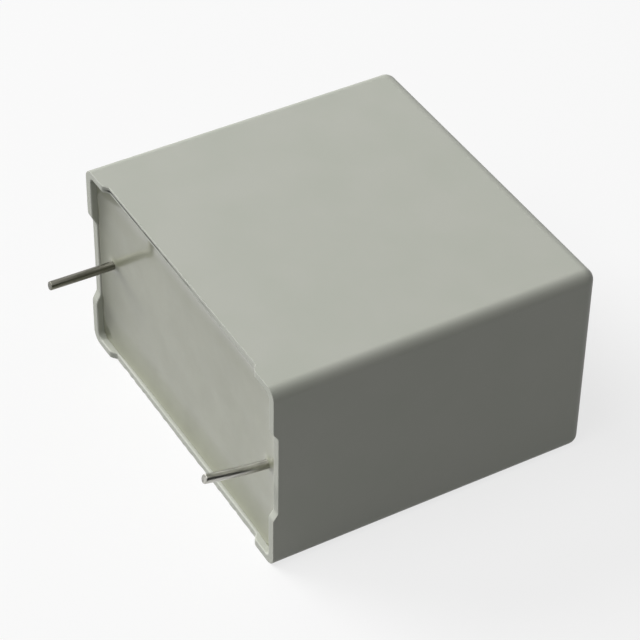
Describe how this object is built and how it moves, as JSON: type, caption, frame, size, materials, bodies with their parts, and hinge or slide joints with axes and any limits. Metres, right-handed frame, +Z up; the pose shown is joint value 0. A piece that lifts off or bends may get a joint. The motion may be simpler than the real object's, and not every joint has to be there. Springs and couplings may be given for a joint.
{
  "type": "box film capacitor",
  "caption": "Flat-sided moulded box capacitor with a resin-filled open end, corner seating feet and straight wire leads for a circuit board.",
  "frame": {"origin": "middle of the large side that the capacitor lies on", "axes": "+X along the length of the case from the left lead to the right lead, +Y from the open lead end to the closed end, so that the leads point along -Y, +Z up through the thickness"},
  "size_m": [0.033, 0.0357, 0.0193],
  "materials": {
    "case_plastic": "glass-filled polyester, moulded with a fine matt texture",
    "potting_epoxy": "cast two-part epoxy, cured with a soft gloss",
    "metallised_film": "clear polypropylene film with an evaporated metal layer, wound and pressed",
    "sprayed_zinc": "flame-sprayed zinc, rough and grey",
    "tinned_wire": "drawn wire with dulled tin plating"
  },
  "bodies": {
    "root": {"case": "case_plastic", "potting_resin": "potting_epoxy", "film_winding": "metallised_film", "left_end_spray": "sprayed_zinc", "right_end_spray": "sprayed_zinc", "left_lead": "tinned_wire", "right_lead": "tinned_wire"}
  },
  "joints": []
}
